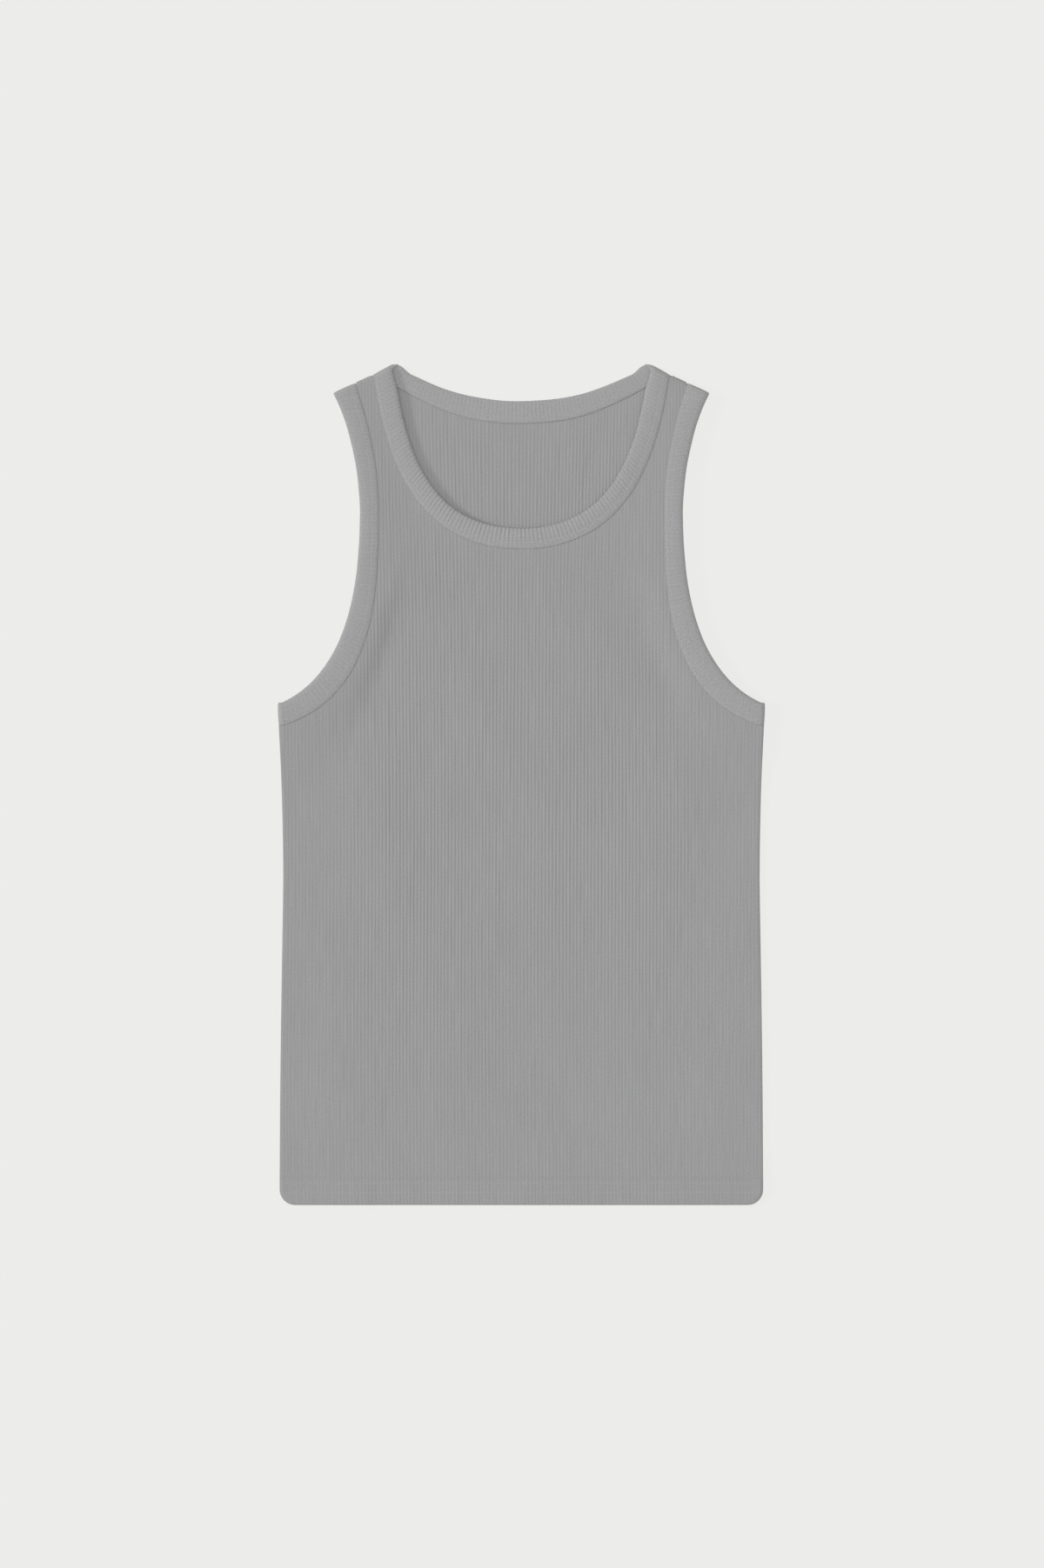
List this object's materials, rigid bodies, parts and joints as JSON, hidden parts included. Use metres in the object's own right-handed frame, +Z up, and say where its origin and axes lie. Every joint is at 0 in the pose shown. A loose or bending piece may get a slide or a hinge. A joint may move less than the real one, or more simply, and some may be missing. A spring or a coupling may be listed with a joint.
{
  "type": "tank top",
  "caption": "Sleeveless rib-knit tank top laid flat, front up, with bound scoop neck, bound armholes and a turned-up straight hem.",
  "frame": {"origin": "middle of the garment's bounding rectangle, on the surface that it lies on", "axes": "+Z up from the surface, out of the garment's front; +Y from the hem to the shoulders; +X to the right as the front is seen"},
  "size_m": [0.4064, 0.6984, 0.0083],
  "materials": {
    "body_rib": "matt grey cotton rib knit, ribs upright",
    "binding_rib": "matt grey cotton rib knit, ribs across the strip"
  },
  "bodies": {
    "root": {"back_panel": "body_rib", "front_panel": "body_rib", "neck_binding": "binding_rib", "right_armhole_binding": "binding_rib", "left_armhole_binding": "binding_rib"}
  },
  "joints": []
}
